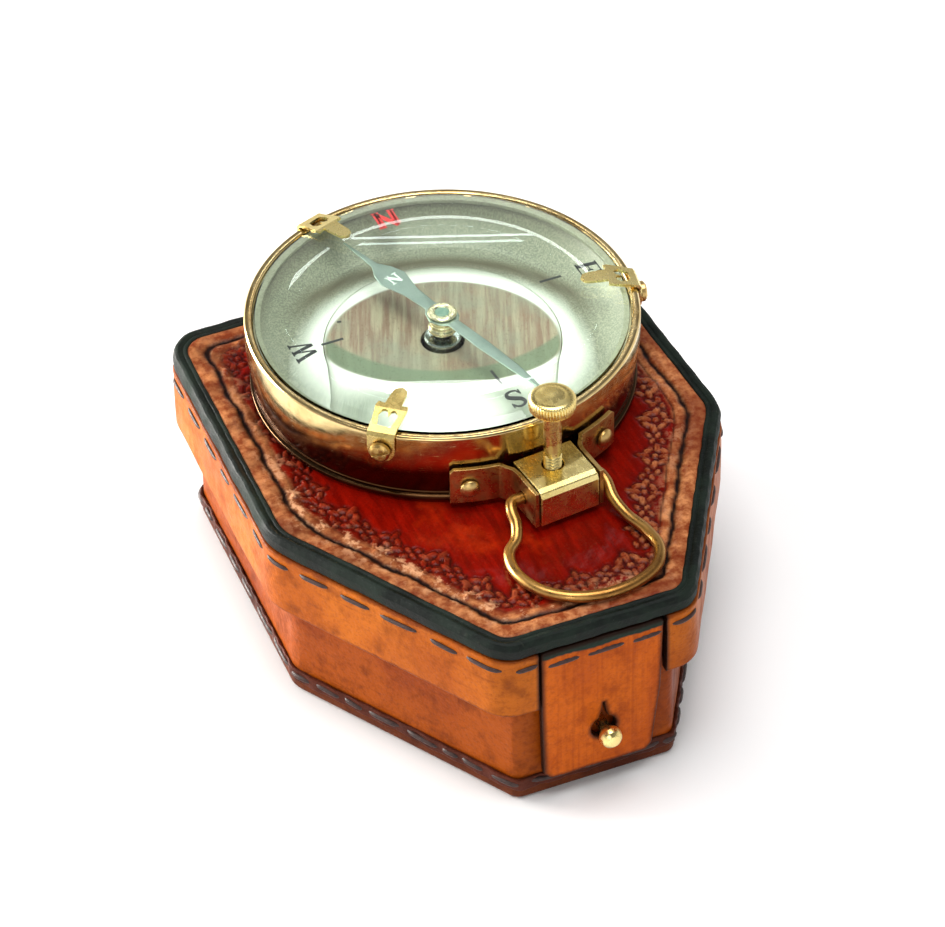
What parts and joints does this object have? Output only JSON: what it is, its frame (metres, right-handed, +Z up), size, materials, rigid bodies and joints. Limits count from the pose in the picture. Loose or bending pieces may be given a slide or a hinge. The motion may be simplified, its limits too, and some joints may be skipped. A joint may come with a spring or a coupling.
{
  "type": "geology compass",
  "caption": "Round brass compass with clipped glass, side bracket, thumbscrew and wire bail, standing on its fitted six-sided leather carrying case.",
  "frame": {"origin": "middle of the carrying case's underside", "axes": "+Z up, +Y from the case's closure tab to its hinge, +X to the right seen from the tab side"},
  "size_m": [0.0924, 0.1184, 0.066],
  "materials": {
    "leather_side": "tan sides, semi-gloss, brown running stitches",
    "leather_tooled": "red-brown tooled and glazed top",
    "leather_edge": "dark green-black painted edge",
    "suede": "brown suede lining",
    "board": "stiff fibre board",
    "brass": "aged, polished",
    "brass_bright": "polished, lightly worn",
    "brass_dark": "darkened",
    "dial_silver": "silvered, grained",
    "mirror": "polished",
    "glass": "clear with a green tint, bevelled edge",
    "steel_blued": "blued",
    "steel": "polished",
    "jewel": "polished stone cup"
  },
  "bodies": {
    "case_base": {"case_sole": "leather_side", "case_welt": "leather_edge", "case_wall": "leather_side", "case_lining": "suede", "case_hinge_flap": "leather_side", "closure_stud": "brass_bright", "stud_washer": "brass"},
    "lid": {"lid_panel": "leather_tooled", "lid_edge_binding": "leather_edge", "lid_board": "board", "lid_lining": "suede", "lid_hinge_strip": "leather_side", "lid_skirt_left": "leather_side", "lid_skirt_right": "leather_side"},
    "closure": {"closure_tab": "leather_side"},
    "compass_housing": {"compass_base": "brass", "compass_wall": "brass", "floor_spacer": "brass_dark", "floor_back_plate": "brass_dark", "dial_floor": "dial_silver", "dial_mirror": "mirror", "glass_seat": "brass_dark", "compass_glass": "glass", "pivot_post": "steel", "pivot_pin": "steel", "glass_clip_northwest": "brass_bright", "clip_screw_northwest": "brass", "glass_clip_east": "brass_bright", "clip_screw_east": "brass", "glass_clip_southwest": "brass_bright", "clip_screw_southwest": "brass", "bracket_ear_left": "brass", "bracket_ear_right": "brass", "bracket_block": "brass", "bracket_screw_left": "brass_dark", "bracket_screw_right": "brass_dark", "lever_fulcrum": "brass", "lever_pin": "steel"},
    "needle": {"needle_blade": "steel_blued", "needle_cap": "brass_bright", "cap_jewel": "jewel"},
    "screw_foot": {"thumbscrew_foot": "steel"},
    "screw": {"thumbscrew": "brass_bright"},
    "lever": {"lift_lever": "brass"},
    "collar": {"lift_collar": "steel"},
    "bail": {"wire_bail": "brass_bright"}
  },
  "joints": [
    {"name": "lid_hinge", "type": "hinge", "parent": "case_base", "child": "lid", "pos_m": [0, 0.05125, 0.0346], "axis": [-1, 0, 0], "range_deg": [0, 105]},
    {"name": "closure_tab_hinge", "type": "hinge", "parent": "lid", "child": "closure", "pos_m": [0.0006, -0.0548, 0.0368], "axis": [-1, 0, 0], "range_deg": [0, 115]},
    {"name": "compass_lift_off", "type": "slide", "parent": "lid", "child": "compass_housing", "axis": [0, 0, 1], "range_m": [0, 0.05]},
    {"name": "needle_swing", "type": "hinge", "parent": "compass_housing", "child": "needle", "pos_m": [0.0013, 0.0215, 0.05365], "axis": [0, 0, 1], "continuous": true},
    {"name": "thumbscrew_travel", "type": "slide", "parent": "compass_housing", "child": "screw_foot", "axis": [0, 0, -1], "range_m": [0, 0.0012]},
    {"name": "thumbscrew_turn", "type": "hinge", "parent": "screw_foot", "child": "screw", "pos_m": [0.00569, -0.02027, 0.05065], "axis": [0, 0, -1], "range_deg": [0, 617.14]},
    {"name": "lift_lever_pivot", "type": "hinge", "parent": "compass_housing", "child": "lever", "pos_m": [0.00349, 0.00061, 0.04405], "axis": [0.9945, 0.1045, 0], "range_deg": [0, 3.06]},
    {"name": "lift_collar_rise", "type": "slide", "parent": "compass_housing", "child": "collar", "axis": [0, 0, 1], "range_m": [0, 0.0012]},
    {"name": "bail_swing", "type": "hinge", "parent": "compass_housing", "child": "bail", "pos_m": [0.00584, -0.02166, 0.04535], "axis": [-0.9945, -0.1045, 0], "range_deg": [0, 100]}
  ],
  "couplings": [
    {"joint": "thumbscrew_turn", "follows": "thumbscrew_travel", "rad_per_m": 8975.1},
    {"joint": "lift_lever_pivot", "follows": "thumbscrew_travel", "rad_per_m": 44.44},
    {"joint": "lift_collar_rise", "follows": "thumbscrew_travel", "ratio": 0.9999}
  ]
}
